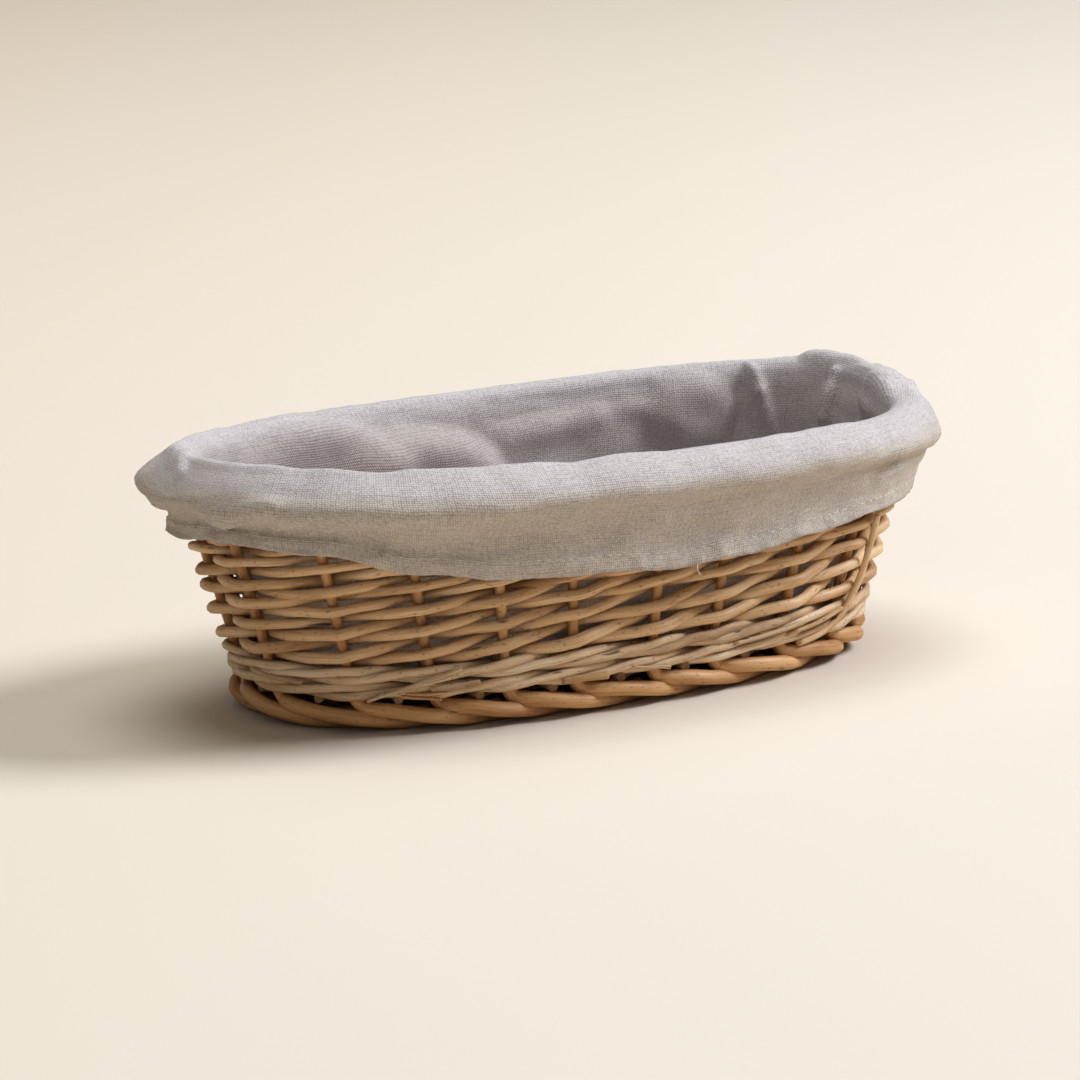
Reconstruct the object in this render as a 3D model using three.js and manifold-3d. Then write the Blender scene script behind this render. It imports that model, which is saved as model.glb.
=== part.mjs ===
// An oblong willow proofing basket with a linen liner turned over its rim.
// Millimetres, +Z up, +X along the basket.
// The origin is the middle of the footprint, on the surface that the basket stands on.
import * as THREE from 'three';
import { mergeVertices } from 'three/addons/utils/BufferGeometryUtils.js';
import Module from 'manifold-3d';

const wasm = await Module();
wasm.setup();

// Plan and height. The foot and rim sizes are taken at the centre lines of the two rolled borders.
const FOOT_LENGTH = 214;
const FOOT_WIDTH = 110;
const RIM_LENGTH = 254;
const RIM_WIDTH = 132;
const RIM_HEIGHT = 77;
// How much higher the rim is at the two ends than at the middle of the sides.
const END_RISE = 4;
// 2 is an ellipse, and a larger number gives fuller corners.
const OVAL_POWER = 2.4;

// The base, whose sticks come out through the gaps between the stakes, one in each gap.
const CROSS_STICKS = 6;
const LONG_STICKS = 5; // an odd number, with one stick on the centre line
const CROSS_STICK_DIAMETER = 3;
const LONG_STICK_DIAMETER = 2.6;
const STICK_END = 4; // how far a stick's end stands out past the centre line of the foot border
const SLIT_WOOD = 1.6; // wood above and below the slit in a cross stick
const SLIT_TAPER = 3.5; // length over which the split stick closes again
const FAN_START = 8; // from the outermost cross stick to where the long sticks fan out
const BASE_WEAVER_DIAMETER = 2.4;
const BASE_ROUNDS = 3;
const BASE_EDGE = 2.5; // from the foot border to the last base row
// The base weavers start where the fanned sticks have spread apart, at this share of their length.
const FAN_SPREAD = 0.3;

// The rods of the wall.
const FOOT_ROD_DIAMETER = 4.6;
const STAKE_DIAMETER = 3.2;
const RIM_ROD_DIAMETER = 3;
const WALE_DIAMETER = 2.3;
const WALE_BANDS = 2; // each is a round of three rods
const WEAVER_DIAMETER = 3.4;

// The linen liner. It stands out this far past the centre line of the rim border, taken over the cloth.
const LINER_OVERHANG_END = 13;
const LINER_OVERHANG_SIDE = 10;
const CLOTH_THICKNESS = 1;
const HEM_THICKNESS = 1.8;
const HEM_DEPTH = 6; // height of the turned-up hem
const SKIRT_DROP_SIDE = 29; // from the rim to the hem at the middle of a side
const SKIRT_DROP_END = 22;
const GATHER_DEPTH = 1.8; // depth of the folds in the skirt at the ends
const LINER_SLACK = 1.4; // how much further the cloth stands off the wall low down

// Clearances: between rods that cross, between rows, between the strands of a border, and under the cloth.
const CROSSING_GAP = 0.3;
const ROW_GAP = 0.25;
const STRAND_GAP = 0.4;
const CLOTH_GAP = 0.35;

// A rod is flattened by this much where it stands on the table.
const FOOT_FLAT = 0.5;

// How the shapes are divided.
const ROD_SIDES = 5;
const THIN_ROD_SIDES = 4;
const STICK_SIDES = 6;
const FOOT_STEPS = 9;
const FOOT_STEP = 1 / 4;
const RIM_STEPS = 7;
const RIM_STEP = 1 / 3;
const OVAL_SAMPLES = 720;
const LINER_SECTIONS_PER_STAKE = 2;

// A weaver lies flat against a stake for this share of the gap between stakes on either side of it.
const FLAT_SHARE = 0.12;
// A waling rod crosses from one face of the wall to the other within this share of a gap.
const CROSS_SHARE = 0.45;
// The end of a row's rod lies behind a stake, this share of a gap past its middle.
const TUCK_SHARE = 0.03;
// Each row starts this many stakes further round than the row below, and an odd row one stake more.
const ROW_START_STEP = 6;
// The cloth's shoulder lies between the top of the rim and its widest point.
// It is placed by these shares of the overhang and of the roll.
const SHOULDER_OUT = 0.65;
const SHOULDER_UP = 0.75;

const UP = new THREE.Vector3(0, 0, 1);
const STRANDS = 3;
const STRAND_TURN = (2 * Math.PI) / STRANDS;
const STAKE_COUNT = 2 * (CROSS_STICKS + LONG_STICKS);

const footRod = FOOT_ROD_DIAMETER / 2;
const stakeRod = STAKE_DIAMETER / 2;
const rimRod = RIM_ROD_DIAMETER / 2;
const waleRod = WALE_DIAMETER / 2;
const weaverRod = WEAVER_DIAMETER / 2;
const crossStick = CROSS_STICK_DIAMETER / 2;
const longStick = LONG_STICK_DIAMETER / 2;
const baseWeaver = BASE_WEAVER_DIAMETER / 2;

// The three strands of a border lie round its centre line at this radius.
function borderRadius(rod, step) {
  return (rod + STRAND_GAP / 2) / (Math.sin(Math.PI / STRANDS) * Math.cos((step * STRAND_TURN) / 2));
}

const footBorder = borderRadius(footRod, FOOT_STEP);
const rimBorder = borderRadius(rimRod, RIM_STEP);
const footHeight = footBorder + footRod - FOOT_FLAT;
const footTop = footHeight + footBorder + footRod;

// In a gap between stakes the sticks lie in the groove between the two upper strands of the foot border.
const stickHeight = footHeight + footBorder / 2 + footRod + crossStick + CROSSING_GAP;
// A waling rod climbs one layer on its way behind a stake, and clears the rod that follows it there.
const waleLayer = 2 * (1 - CROSS_SHARE) * WALE_DIAMETER + ROW_GAP / 2;
const waleBottom = stickHeight + crossStick + waleRod + CROSSING_GAP;
const waleTop = waleBottom + (2 * WALE_BANDS - 1) * waleLayer;
const rowPitch = WEAVER_DIAMETER + ROW_GAP;
const firstRow = waleTop + waleRod + weaverRod + CROSSING_GAP;
const bendRoom = 2 * RIM_ROD_DIAMETER;
const lastRow = RIM_HEIGHT - rimBorder - bendRoom - weaverRod;
const rowCount = Math.floor((lastRow - firstRow) / rowPitch) + 1;

// The plan is an oval. The stakes are spaced by arc length on the oval at half height.
function ovalRadius(angle, halfLength, halfWidth) {
  const alongX = Math.pow(Math.abs(Math.cos(angle)) / halfLength, OVAL_POWER);
  const alongY = Math.pow(Math.abs(Math.sin(angle)) / halfWidth, OVAL_POWER);
  return Math.pow(alongX + alongY, -1 / OVAL_POWER);
}

function arcLengths(halfLength, halfWidth) {
  const lengths = [0];
  let before = new THREE.Vector2(halfLength, 0);
  for (let sample = 1; sample <= OVAL_SAMPLES; sample++) {
    const angle = (sample / OVAL_SAMPLES) * 2 * Math.PI;
    const radius = ovalRadius(angle, halfLength, halfWidth);
    const point = new THREE.Vector2(radius * Math.cos(angle), radius * Math.sin(angle));
    lengths.push(lengths[sample - 1] + point.distanceTo(before));
    before = point;
  }
  return lengths;
}

const midLengths = arcLengths((FOOT_LENGTH + RIM_LENGTH) / 4, (FOOT_WIDTH + RIM_WIDTH) / 4);
const footPitch = arcLengths(FOOT_LENGTH / 2, FOOT_WIDTH / 2)[OVAL_SAMPLES] / STAKE_COUNT;

function angleAtTurn(turn) {
  const whole = Math.floor(turn);
  const wanted = (turn - whole) * midLengths[OVAL_SAMPLES];
  let sample = 1;
  while (sample < OVAL_SAMPLES && midLengths[sample] < wanted) {
    sample++;
  }
  const share = (wanted - midLengths[sample - 1]) / (midLengths[sample] - midLengths[sample - 1]);
  return (whole + (sample - 1 + share) / OVAL_SAMPLES) * 2 * Math.PI;
}

// A place on the wall. "stakes" counts round the basket in gaps between stakes, and a stake is at every
// whole number. "out" is the distance outwards from the stakes' centre lines, and "flareHeight" picks
// the oval that it starts from.
function wallPlan(stakes, flareHeight) {
  const angle = angleAtTurn((stakes + 0.5) / STAKE_COUNT);
  const flare = THREE.MathUtils.clamp((flareHeight - footTop) / (RIM_HEIGHT - footTop), 0, 1);
  const halfLength = THREE.MathUtils.lerp(FOOT_LENGTH, RIM_LENGTH, flare) / 2;
  const halfWidth = THREE.MathUtils.lerp(FOOT_WIDTH, RIM_WIDTH, flare) / 2;
  const radius = ovalRadius(angle, halfLength, halfWidth);
  const x = radius * Math.cos(angle);
  const y = radius * Math.sin(angle);
  const slopeX = Math.sign(x) * Math.pow(Math.abs(x) / halfLength, OVAL_POWER - 1) / halfLength;
  const slopeY = Math.sign(y) * Math.pow(Math.abs(y) / halfWidth, OVAL_POWER - 1) / halfWidth;
  const normal = new THREE.Vector3(slopeX, slopeY, 0).normalize();
  const endShare = Math.pow(x / (RIM_LENGTH / 2), 2);
  return { x, y, normal, endShare, lift: 1 + (END_RISE / RIM_HEIGHT) * endShare };
}

function wallPoint(stakes, out, height, flareHeight = height) {
  const plan = wallPlan(stakes, flareHeight);
  return new THREE.Vector3(plan.x, plan.y, height * plan.lift).addScaledVector(plan.normal, out);
}

// A geometry from its vertices and triangles.
function solidGeometry(positions, triangles) {
  const geometry = new THREE.BufferGeometry();
  geometry.setAttribute('position', new THREE.Float32BufferAttribute(positions, 3));
  geometry.setIndex(triangles);
  return geometry;
}

// A rod follows its stations, each with a point and a radius, and may be thicker in the upright direction.
function rodGeometry(stations, sides) {
  const positions = [];
  const triangles = [];
  const up = UP.clone();
  stations.forEach((station, ring) => {
    const before = stations[Math.max(ring - 1, 0)].point;
    const after = stations[Math.min(ring + 1, stations.length - 1)].point;
    const along = new THREE.Vector3().subVectors(after, before).normalize();
    up.addScaledVector(along, -up.dot(along)).normalize();
    const side = new THREE.Vector3().crossVectors(along, up);
    const rise = station.rise ?? station.radius;
    for (let corner = 0; corner < sides; corner++) {
      const angle = (corner / sides) * 2 * Math.PI;
      const point = station.point.clone();
      point.addScaledVector(up, -Math.cos(angle) * rise);
      point.addScaledVector(side, Math.sin(angle) * station.radius);
      positions.push(point.x, point.y, point.z);
      const next = (corner + 1) % sides;
      if (ring > 0) {
        const here = ring * sides;
        const back = here - sides;
        triangles.push(back + corner, here + corner, here + next);
        triangles.push(back + corner, here + next, back + next);
      }
    }
  });
  const last = (stations.length - 1) * sides;
  for (let corner = 1; corner < sides - 1; corner++) {
    triangles.push(0, corner, corner + 1);
    triangles.push(last, last + corner + 1, last + corner);
  }
  return solidGeometry(positions, triangles);
}

// Boolean cuts on closed geometries.
function toSolid(geometry) {
  const bare = geometry.clone();
  bare.deleteAttribute('normal');
  bare.deleteAttribute('uv');
  const merged = mergeVertices(bare);
  const vertProperties = new Float32Array(merged.attributes.position.array);
  const triVerts = new Uint32Array(merged.index.array);
  return new wasm.Manifold(new wasm.Mesh({ numProp: 3, vertProperties, triVerts }));
}

function cutGeometry(geometry, tool) {
  const mesh = toSolid(geometry).subtract(toSolid(tool)).getMesh();
  return solidGeometry(Array.from(mesh.vertProperties), Array.from(mesh.triVerts));
}

function boxBetween(low, high) {
  const size = new THREE.Vector3().subVectors(high, low);
  const box = new THREE.BoxGeometry(size.x, size.y, size.z);
  return box.translate((low.x + high.x) / 2, (low.y + high.y) / 2, (low.z + high.z) / 2);
}

const willow = new THREE.MeshStandardMaterial({ color: 0xb98f5c, roughness: 0.6, metalness: 0 });
const foreWillow = new THREE.MeshStandardMaterial({ color: 0xc0914f, roughness: 0.55, metalness: 0 });
const paleWillow = new THREE.MeshStandardMaterial({ color: 0xb9a07c, roughness: 0.7, metalness: 0 });
const linen = new THREE.MeshStandardMaterial({ color: 0xb3aaa2, roughness: 0.95, metalness: 0 });

const basket = new THREE.Group();

function addPiece(name, geometry, material) {
  geometry.computeVertexNormals();
  const mesh = new THREE.Mesh(geometry, material);
  mesh.name = name;
  basket.add(mesh);
}

function numbered(name, index) {
  return `${name}_${String(index + 1).padStart(2, '0')}`;
}

// A stake rises out of the foot border, where it is one strand for a little over two gaps.
// It ends in the rim border.
function stakeStations(stake) {
  const stations = [];
  for (let step = FOOT_STEPS; step > 0; step--) {
    const along = step * FOOT_STEP;
    const phase = Math.PI / 2 - along * STRAND_TURN;
    const out = footBorder * Math.cos(phase);
    const height = footHeight + footBorder * Math.sin(phase);
    stations.push({ point: wallPoint(stake + along, out, height, 0), radius: footRod });
  }
  const footBend = footHeight + footBorder;
  const shift = footRod / footPitch;
  stations.push({ point: wallPoint(stake + shift, 0, footBend + footRod / 4), radius: footRod });
  stations.push({ point: wallPoint(stake, 0, footBend + 1.5 * footRod), radius: (footRod + stakeRod) / 2 });
  stations.push({ point: wallPoint(stake, 0, waleBottom), radius: stakeRod });
  stations.push({ point: wallPoint(stake, 0, (waleBottom + lastRow) / 2), radius: stakeRod });
  const rimBend = RIM_HEIGHT - rimBorder;
  stations.push({ point: wallPoint(stake, 0, rimBend - bendRoom), radius: stakeRod });
  stations.push({ point: wallPoint(stake, 0, rimBend - rimRod), radius: rimRod });
  stations.push({ point: wallPoint(stake + rimRod / footPitch, 0, rimBend - rimRod / 4), radius: rimRod });
  for (let step = 1; step <= RIM_STEPS; step++) {
    const along = step * RIM_STEP;
    const phase = along * STRAND_TURN - Math.PI / 2;
    const out = rimBorder * Math.cos(phase);
    const height = RIM_HEIGHT + rimBorder * Math.sin(phase);
    stations.push({ point: wallPoint(stake + along, out, height, RIM_HEIGHT), radius: rimRod });
  }
  return stations;
}

function addStakes() {
  const reach = new THREE.Vector3(RIM_LENGTH, RIM_WIDTH, 0);
  const below = new THREE.Vector3(-RIM_LENGTH, -RIM_WIDTH, -2 * FOOT_ROD_DIAMETER);
  const table = boxBetween(below, reach);
  for (let stake = 0; stake < STAKE_COUNT; stake++) {
    const rod = rodGeometry(stakeStations(stake), ROD_SIDES);
    addPiece(numbered('stake', stake), cutGeometry(rod, table), foreWillow);
  }
}

// One row of the wall: outside one stake and inside the next. Both ends lie behind the same stake.
function addRows() {
  const reach = stakeRod + weaverRod + CROSSING_GAP;
  for (let row = 0; row < rowCount; row++) {
    const height = firstRow + row * rowPitch;
    const start = row * ROW_START_STEP + (row % 2);
    const stations = [{ point: wallPoint(start + TUCK_SHARE, -reach, height), radius: weaverRod }];
    for (let count = 0; count <= STAKE_COUNT; count++) {
      const out = count % 2 === 0 ? -reach : reach;
      if (count > 0) {
        stations.push({ point: wallPoint(start + count - FLAT_SHARE, out, height), radius: weaverRod });
      }
      if (count < STAKE_COUNT) {
        stations.push({ point: wallPoint(start + count + FLAT_SHARE, out, height), radius: weaverRod });
      }
    }
    const end = start + STAKE_COUNT - TUCK_SHARE;
    stations.push({ point: wallPoint(end, -reach, height), radius: weaverRod });
    addPiece(numbered('weaver_row', row), rodGeometry(stations, ROD_SIDES), willow);
  }
}

// The waling: each rod passes in front of two stakes, high and then low, and behind the third.
function addWaling() {
  const reach = stakeRod + waleRod + CROSSING_GAP;
  const strokes = Math.floor((STAKE_COUNT - 1) / STRANDS);
  for (let rod = 0; rod < STRANDS * WALE_BANDS; rod++) {
    const low = waleBottom + 2 * Math.floor(rod / STRANDS) * waleLayer;
    const high = low + waleLayer;
    const stations = [];
    const pass = (stakes, out, height) => {
      stations.push({ point: wallPoint(stakes, out, height), radius: waleRod });
    };
    for (let stroke = 0; stroke < strokes; stroke++) {
      const behind = (rod % STRANDS) + STRANDS * stroke;
      if (stroke === 0) {
        pass(behind + TUCK_SHARE, -reach, (low + high) / 2);
      } else {
        pass(behind - 1 + CROSS_SHARE, -reach, low);
      }
      pass(behind + 1 - CROSS_SHARE, -reach, high);
      pass(behind + 1 - FLAT_SHARE, reach, high);
      pass(behind + 1 + FLAT_SHARE, reach, high);
      pass(behind + 2 - FLAT_SHARE, reach, low);
      pass(behind + 2 + FLAT_SHARE, reach, low);
    }
    const end = (rod % STRANDS) + STRANDS * strokes;
    pass(end - 1 + CROSS_SHARE, -reach, low);
    pass(end - TUCK_SHARE, -reach, (low + high) / 2);
    addPiece(numbered('wale_rod', rod), rodGeometry(stations, ROD_SIDES), paleWillow);
  }
}

// The base. Gap 0 is at the +X end, and the gaps count round as the stakes do.
const slitHalf = LONG_STICKS * (longStick + CROSSING_GAP / 2) + CROSSING_GAP;
const endGaps = Math.floor(LONG_STICKS / 2);
const outerCross = gapPoint(endGaps + 1, 0).x;

function gapPoint(gap, out) {
  return wallPoint(gap - 0.5, out, 0, 0).setZ(stickHeight * wallPlan(gap - 0.5, 0).lift);
}

function longStickY(order) {
  return (order - endGaps) * (LONG_STICK_DIAMETER + CROSSING_GAP);
}

function addLongSticks() {
  const fan = outerCross + FAN_START;
  for (let order = 0; order < LONG_STICKS; order++) {
    const y = longStickY(order);
    const front = gapPoint(order - endGaps, STICK_END);
    const points = [
      front.clone().setX(-front.x),
      new THREE.Vector3(-fan, y, stickHeight),
      new THREE.Vector3(fan, y, stickHeight),
      front,
    ];
    const stations = points.map((point) => ({ point, radius: longStick }));
    addPiece(numbered('base_long_stick', order), rodGeometry(stations, STICK_SIDES), willow);
  }
}

function addCrossSticks() {
  const slitHeight = longStick + CROSSING_GAP;
  for (let order = 0; order < CROSS_STICKS; order++) {
    const gap = endGaps + 1 + order;
    const back = gapPoint(gap, STICK_END);
    const front = gapPoint(-gap, STICK_END);
    const { x } = gapPoint(gap, 0);
    const bulge = slitHeight + SLIT_WOOD;
    const stations = [{ point: front.setX(x), radius: crossStick }];
    for (const y of [-slitHalf - SLIT_TAPER, -slitHalf, slitHalf, slitHalf + SLIT_TAPER]) {
      const rise = Math.abs(y) > slitHalf ? crossStick : bulge;
      stations.push({ point: new THREE.Vector3(x, y, stickHeight), radius: crossStick, rise });
    }
    stations.push({ point: back.setX(x), radius: crossStick });
    const low = new THREE.Vector3(x - CROSS_STICK_DIAMETER, -slitHalf, stickHeight - slitHeight);
    const high = new THREE.Vector3(x + CROSS_STICK_DIAMETER, slitHalf, stickHeight + slitHeight);
    const stick = cutGeometry(rodGeometry(stations, STICK_SIDES), boxBetween(low, high));
    addPiece(numbered('base_cross_stick', order), stick, willow);
  }
}

// The line along the stick in a gap that the base weavers are spread over.
// It runs from the middle of the base outwards.
function spokeEnds(gap) {
  const inset = footBorder + footRod + baseWeaver + BASE_EDGE;
  const outer = gapPoint(gap, -inset);
  const fromEnd = Math.min(gap, STAKE_COUNT - gap);
  const fromFarEnd = Math.abs(STAKE_COUNT / 2 - gap);
  if (Math.min(fromEnd, fromFarEnd) > endGaps) {
    const start = slitHalf + SLIT_TAPER + baseWeaver + CROSSING_GAP;
    outer.setX(gapPoint(gap, 0).x);
    return [new THREE.Vector3(outer.x, Math.sign(outer.y) * start, stickHeight), outer];
  }
  const signed = gap > STAKE_COUNT / 2 ? gap - STAKE_COUNT : gap;
  const order = fromEnd <= endGaps ? signed : Math.sign(outer.y) * (STAKE_COUNT / 2 - Math.abs(signed));
  const fan = Math.sign(outer.x) * (outerCross + FAN_START);
  const inner = new THREE.Vector3(fan, longStickY(order + endGaps), stickHeight);
  const direction = gapPoint(gap, STICK_END).sub(inner);
  const length = direction.length() - STICK_END - inset;
  direction.normalize();
  const start = inner.clone().addScaledVector(direction, FAN_SPREAD * length);
  return [start, inner.clone().addScaledVector(direction, length)];
}

const baseReach = crossStick + baseWeaver + 1.5 * CROSSING_GAP;

function addBaseWeavers() {
  const rows = 2 * BASE_ROUNDS;
  for (let weaver = 0; weaver < 2; weaver++) {
    const stations = [];
    for (let crossing = 0; crossing < BASE_ROUNDS * STAKE_COUNT; crossing++) {
      const [inner, outer] = spokeEnds(crossing % STAKE_COUNT);
      const share = (weaver + (2 * crossing) / STAKE_COUNT) / rows;
      const point = inner.clone().lerp(outer, share);
      const over = (crossing + weaver) % 2 === 0 ? 1 : -1;
      point.z = stickHeight + over * baseReach;
      stations.push({ point, radius: baseWeaver });
    }
    addPiece(numbered('base_weaver', weaver), rodGeometry(stations, THIN_ROD_SIDES), willow);
  }
}

// The liner. The floor panel lies on the base weavers, and the side band goes up the wall and over the rim.
const floorHeight = stickHeight + baseReach + baseWeaver + CLOTH_GAP;
const linerWall = stakeRod + WEAVER_DIAMETER + CROSSING_GAP + CLOTH_GAP + CLOTH_THICKNESS / 2;
const linerRoll = rimBorder + rimRod + CLOTH_GAP + CLOTH_THICKNESS / 2;
const linerSections = LINER_SECTIONS_PER_STAKE * STAKE_COUNT;

// The middle of the cloth on one section, from the floor seam to the hem, as [out, height, thickness].
function bandProfile(stakes, gather) {
  const { endShare } = wallPlan(stakes, RIM_HEIGHT);
  const sideOut = LINER_OVERHANG_SIDE - CLOTH_THICKNESS / 2;
  const endOut = LINER_OVERHANG_END - CLOTH_THICKNESS / 2;
  const overhang = THREE.MathUtils.lerp(sideOut, endOut, endShare);
  const drop = THREE.MathUtils.lerp(SKIRT_DROP_SIDE, SKIRT_DROP_END, endShare);
  const hem = RIM_HEIGHT - drop;
  const hemOut = linerWall + (HEM_THICKNESS - CLOTH_THICKNESS) / 2 + CLOTH_GAP + gather;
  const roll = linerRoll * Math.SQRT1_2;
  const t = CLOTH_THICKNESS;
  return [
    [-linerWall - LINER_SLACK, floorHeight, t],
    [-linerWall - LINER_SLACK, firstRow, t],
    [-linerWall, (firstRow + RIM_HEIGHT) / 2, t],
    [-linerWall, RIM_HEIGHT - bendRoom, t],
    [-roll, RIM_HEIGHT + roll, t],
    [0, RIM_HEIGHT + linerRoll, t],
    [overhang * SHOULDER_OUT, RIM_HEIGHT + linerRoll * SHOULDER_UP, t],
    [overhang, RIM_HEIGHT - linerRoll / 2, t],
    [overhang, RIM_HEIGHT - drop / 3, t],
    [(overhang + hemOut) / 2, hem + (drop - HEM_DEPTH) / 3 + HEM_DEPTH, t],
    [hemOut, hem + HEM_DEPTH, HEM_THICKNESS],
    [hemOut, hem, HEM_THICKNESS],
  ];
}

// The cloth's two faces, half its thickness to either side of its middle.
function bandSection(stakes, gather) {
  const profile = bandProfile(stakes, gather);
  const left = [];
  const right = [];
  profile.forEach(([out, height, thickness], index) => {
    const before = profile[Math.max(index - 1, 0)];
    const after = profile[Math.min(index + 1, profile.length - 1)];
    const across = new THREE.Vector2(after[1] - before[1], before[0] - after[0]).setLength(thickness / 2);
    left.push(wallPoint(stakes, out - across.x, height - across.y));
    right.push(wallPoint(stakes, out + across.x, height + across.y));
  });
  return left.concat(right.reverse());
}

function addSideBand() {
  const positions = [];
  const triangles = [];
  const around = 2 * bandProfile(0, 0).length;
  for (let section = 0; section < linerSections; section++) {
    const stakes = section / LINER_SECTIONS_PER_STAKE;
    const { endShare } = wallPlan(stakes, RIM_HEIGHT);
    const gather = section % 2 === 0 ? GATHER_DEPTH * endShare * endShare : 0;
    bandSection(stakes, gather).forEach((point, corner) => {
      positions.push(point.x, point.y, point.z);
      const here = section * around + corner;
      const next = section * around + ((corner + 1) % around);
      const ahead = (here + around) % (linerSections * around);
      const aheadNext = (next + around) % (linerSections * around);
      triangles.push(here, aheadNext, ahead, here, next, aheadNext);
    });
  }
  addPiece('liner_side_band', solidGeometry(positions, triangles), linen);
}

function addFloorPanel() {
  const out = -linerWall - LINER_SLACK - CLOTH_THICKNESS / 2 - CLOTH_GAP;
  const outline = new THREE.Shape();
  for (let section = 0; section < linerSections; section++) {
    const point = wallPoint(section / LINER_SECTIONS_PER_STAKE, out, floorHeight);
    if (section === 0) {
      outline.moveTo(point.x, point.y);
    } else {
      outline.lineTo(point.x, point.y);
    }
  }
  const panel = new THREE.ExtrudeGeometry(outline, { depth: CLOTH_THICKNESS, bevelEnabled: false });
  addPiece('liner_floor_panel', panel.translate(0, 0, floorHeight), linen);
}

addStakes();
addRows();
addWaling();
addLongSticks();
addCrossSticks();
addBaseWeavers();
addSideBand();
addFloorPanel();

export default basket;
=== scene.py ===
# %% [markdown]
# # A willow proofing basket with a linen liner
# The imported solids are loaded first, as a frame that never moves. Most pieces made below stand in for one
# or more of those solids, so they have to sit where the solids do. All lengths in the frame are metres.

# %% The frame
import math
import random
from bisect import bisect_left, bisect_right
from collections import namedtuple

import bmesh
import bpy
from mathutils import Matrix, Vector, noise


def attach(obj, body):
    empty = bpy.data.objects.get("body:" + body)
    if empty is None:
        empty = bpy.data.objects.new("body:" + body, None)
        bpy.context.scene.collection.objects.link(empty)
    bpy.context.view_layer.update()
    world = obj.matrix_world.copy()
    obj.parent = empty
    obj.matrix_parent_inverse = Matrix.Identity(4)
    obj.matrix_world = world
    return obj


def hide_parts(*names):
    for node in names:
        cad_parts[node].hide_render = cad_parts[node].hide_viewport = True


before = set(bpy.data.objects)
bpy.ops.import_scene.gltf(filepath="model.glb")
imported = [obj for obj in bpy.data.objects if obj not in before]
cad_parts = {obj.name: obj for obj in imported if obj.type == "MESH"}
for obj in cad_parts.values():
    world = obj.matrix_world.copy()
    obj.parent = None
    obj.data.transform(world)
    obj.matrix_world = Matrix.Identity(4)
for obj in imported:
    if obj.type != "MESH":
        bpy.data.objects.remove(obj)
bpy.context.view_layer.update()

# %% [markdown]
# ## The camera
# The photograph was taken from a good way off with a long lens, a little above the table, looking at one
# long side with the left end nearer. The camera could be aimed with a constraint, but building its axes
# from three angles keeps the slight roll of the picture under control. A small lens shift puts the basket
# off centre.

# %% Camera
PHOTO_SIDE = 1080
VIEW_TURN, VIEW_TILT, VIEW_ROLL = (math.radians(angle) for angle in (32.8, 11.9, 1.17))
VIEW_DISTANCE, VIEW_END = 1.653, 50
VIEW_TARGET = Vector((0, 0, 0.035))
LENS_ANGLE = math.radians(12)
# The lens shift, in pixels of the photo.
SHIFT_RIGHT, SHIFT_UP = -12.8, 24.9

forward = Vector((math.sin(VIEW_TURN), math.cos(VIEW_TURN), -math.tan(VIEW_TILT))).normalized()
level = Vector((math.cos(VIEW_TURN), -math.sin(VIEW_TURN), 0))
upright = level.cross(forward)
picture_right = level * math.cos(VIEW_ROLL) - upright * math.sin(VIEW_ROLL)
picture_up = upright * math.cos(VIEW_ROLL) + level * math.sin(VIEW_ROLL)

lens = bpy.data.cameras.new("camera")
lens.angle = LENS_ANGLE
lens.shift_x = SHIFT_RIGHT / PHOTO_SIDE
lens.shift_y = SHIFT_UP / PHOTO_SIDE
lens.clip_end = VIEW_END
camera = bpy.data.objects.new("camera", lens)
axes = Matrix((picture_right, picture_up, -forward)).transposed().to_4x4()
camera.matrix_world = Matrix.Translation(VIEW_TARGET - forward * VIEW_DISTANCE) @ axes
scene = bpy.context.scene
scene.collection.objects.link(camera)
scene.camera = camera
scene.view_settings.view_transform = "Standard"
print("camera stands", round(camera.location.z, 3), "m above the table")

# %% [markdown]
# ## Shader sums
# A material is a graph of nodes, and sums are easier to read as Python. `Value` wraps one socket, so `a * b`
# adds a Math node, and `1 - mask` works too. `Shader.add` makes every other kind of node: its settings go in
# first, because they can change which sockets exist, and then the values or links of its sockets. Colours
# are three numbers, and `feed` adds the fourth, which makes them opaque.


# %% Shader helpers
class Value:
    """One output of a node, which Python's operators work on."""

    def __init__(self, shader, socket):
        self.shader = shader
        self.socket = socket

    def math(self, operation, *values):
        return self.shader.add("ShaderNodeMath", {"operation": operation}, dict(enumerate(values)))

    def __add__(self, other):
        return self.math("ADD", self, other)

    def __sub__(self, other):
        return self.math("SUBTRACT", self, other)

    def __rsub__(self, other):
        return self.math("SUBTRACT", other, self)

    def __mul__(self, other):
        return self.math("MULTIPLY", self, other)


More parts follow.
